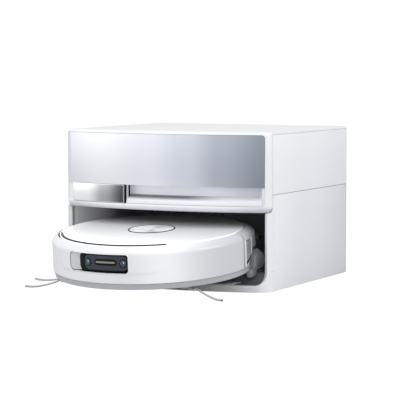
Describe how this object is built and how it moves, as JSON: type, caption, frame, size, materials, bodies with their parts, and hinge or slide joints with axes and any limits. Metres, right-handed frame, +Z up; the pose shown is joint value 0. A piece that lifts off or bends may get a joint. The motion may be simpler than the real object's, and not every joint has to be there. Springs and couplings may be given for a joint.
{
  "type": "robot vacuum",
  "caption": "Round low robot floor cleaner parked nose-out on the ramp of a white box-shaped docking station with a curved satin front panel and a water drawer.",
  "frame": {"origin": "middle of the docking station's footprint, on the floor", "axes": "+Z up, -Y towards the front that the robot drives out of, +X towards the right-hand side seen from the front"},
  "size_m": [0.41, 0.5938, 0.278],
  "materials": {
    "white_shell": "smooth low-gloss white with a cool tint",
    "grey_trim": "satin mid grey",
    "dark_parts": "matt near black",
    "satin_panel": "satin metallic silver, cool, fading darker to the right",
    "chrome_key": "bright polished",
    "bare_steel": "brushed",
    "camera_glass": "coated lens glass, blue-green glints",
    "lamp": "warm diffusing lamp cover",
    "rubber_tread": "matt rubber",
    "clear_tank": "pale blue tank plastic",
    "smoke_tank": "smoked grey tank plastic",
    "bag_paper": "unbleached non-woven",
    "filter_felt": "white pleated felt",
    "board": "green circuit board",
    "battery_wrap": "blue shrink wrap",
    "bristle": "grey nylon bristle",
    "mop_fleece": "light grey microfibre"
  },
  "bodies": {
    "dock": {"base_tray": "white_shell", "left_side_shell": "white_shell", "right_side_shell": "white_shell", "rear_panel": "white_shell", "mid_deck": "dark_parts", "upper_housing": "white_shell", "top_cover": "white_shell", "garage_liner": "dark_parts", "wash_board": "grey_trim", "dock_feet": "rubber_tread", "dust_duct": "dark_parts", "dust_bag": "bag_paper", "dust_fan": "dark_parts", "water_pump": "grey_trim", "control_board": "board", "power_inlet": "dark_parts", "sensor_window": "dark_parts", "drawer_rails": "bare_steel"},
    "drawer": {"drawer_front": "white_shell", "front_panel": "satin_panel", "drawer_tray": "white_shell", "clean_tank": "clear_tank", "dirty_tank": "smoke_tank", "tank_caps": "dark_parts", "tank_handles": "grey_trim"},
    "front_key": {"front_key": "chrome_key"},
    "charge_contacts": {"charge_contacts": "bare_steel"},
    "robot": {"chassis": "dark_parts", "core_wall": "dark_parts", "skirt_ring": "grey_trim", "body_shell": "white_shell", "top_lid": "white_shell", "button_ring": "dark_parts", "vent_grilles": "grey_trim", "dust_bin": "smoke_tank", "bin_filter": "filter_felt", "suction_fan": "dark_parts", "battery": "battery_wrap", "main_board": "board", "cliff_sensors": "dark_parts", "robot_contacts": "bare_steel", "chassis_screws": "bare_steel"},
    "button_plate": {"button_plate": "white_shell"},
    "bumper": {"bumper": "white_shell", "camera_housing": "dark_parts", "camera_lenses": "camera_glass", "light_bar": "lamp"},
    "wheel_arm_left": {"wheel_arm_left": "grey_trim"},
    "wheel_arm_right": {"wheel_arm_right": "grey_trim"},
    "drive_wheel_left": {"drive_wheel_left": "rubber_tread"},
    "drive_wheel_right": {"drive_wheel_right": "rubber_tread"},
    "caster_fork": {"caster_fork": "grey_trim"},
    "caster_wheel": {"caster_wheel": "rubber_tread"},
    "side_brush_left": {"side_brush_left": "grey_trim", "bristles_left": "bristle"},
    "side_brush_right": {"side_brush_right": "grey_trim", "bristles_right": "bristle"},
    "main_brush": {"main_brush": "rubber_tread"},
    "mop_carriage": {"mop_carriage": "grey_trim"},
    "mop_roller": {"mop_roller": "mop_fleece"}
  },
  "joints": [
    {"name": "drawer_slide", "type": "slide", "parent": "dock", "child": "drawer", "axis": [0, -1, 0], "range_m": [0, 0.2]},
    {"name": "front_key_press", "type": "slide", "parent": "drawer", "child": "front_key", "axis": [0, 1, 0], "range_m": [0, 0.0015], "stiffness_N_per_m": 400},
    {"name": "contacts_press", "type": "slide", "parent": "dock", "child": "charge_contacts", "axis": [0, 1, 0], "range_m": [0, 0.003], "stiffness_N_per_m": 300},
    {"name": "robot_drive", "type": "slide", "parent": "dock", "child": "robot", "axis": [0, -1, 0], "range_m": [0, 0.25]},
    {"name": "button_press", "type": "slide", "parent": "robot", "child": "button_plate", "axis": [0, 0.0863, -0.9963], "range_m": [0, 0.0008], "stiffness_N_per_m": 600},
    {"name": "bumper_press", "type": "slide", "parent": "robot", "child": "bumper", "axis": [0, 0.9963, 0.0863], "range_m": [0, 0.003], "stiffness_N_per_m": 300},
    {"name": "wheel_arm_left_swing", "type": "hinge", "parent": "robot", "child": "wheel_arm_left", "pos_m": [-0.091, -0.23763, 0.05117], "axis": [1, 0, 0], "range_deg": [0, 16], "stiffness_Nm_per_rad": 0.5},
    {"name": "wheel_arm_right_swing", "type": "hinge", "parent": "robot", "child": "wheel_arm_right", "pos_m": [0.091, -0.23763, 0.05117], "axis": [1, 0, 0], "range_deg": [0, 16], "stiffness_Nm_per_rad": 0.5},
    {"name": "drive_wheel_left_spin", "type": "hinge", "parent": "wheel_arm_left", "child": "drive_wheel_left", "pos_m": [-0.118, -0.18231, 0.04984], "axis": [1, 0, 0], "continuous": true},
    {"name": "drive_wheel_right_spin", "type": "hinge", "parent": "wheel_arm_right", "child": "drive_wheel_right", "pos_m": [0.118, -0.18231, 0.04984], "axis": [1, 0, 0], "continuous": true},
    {"name": "caster_swivel", "type": "hinge", "parent": "robot", "child": "caster_fork", "pos_m": [0, -0.3338, 0.03732], "axis": [0, -0.0863, 0.9963], "continuous": true},
    {"name": "caster_spin", "type": "hinge", "parent": "caster_fork", "child": "caster_wheel", "pos_m": [0, -0.32873, 0.02521], "axis": [1, 0, 0], "continuous": true},
    {"name": "side_brush_left_spin", "type": "hinge", "parent": "robot", "child": "side_brush_left", "pos_m": [-0.106, -0.29867, 0.02581], "axis": [0, -0.0863, 0.9963], "continuous": true, "deforming": ["bristles_left"]},
    {"name": "side_brush_right_spin", "type": "hinge", "parent": "robot", "child": "side_brush_right", "pos_m": [0.106, -0.29867, 0.02581], "axis": [0, -0.0863, 0.9963], "continuous": true, "deforming": ["bristles_right"]},
    {"name": "main_brush_spin", "type": "hinge", "parent": "robot", "child": "main_brush", "pos_m": [0, -0.23387, 0.04246], "axis": [1, 0, 0], "continuous": true},
    {"name": "mop_slide", "type": "slide", "parent": "robot", "child": "mop_carriage", "axis": [-1, 0, 0], "range_m": [0, 0.015]},
    {"name": "mop_spin", "type": "hinge", "parent": "mop_carriage", "child": "mop_roller", "pos_m": [0, -0.11215, 0.05099], "axis": [1, 0, 0], "continuous": true}
  ]
}
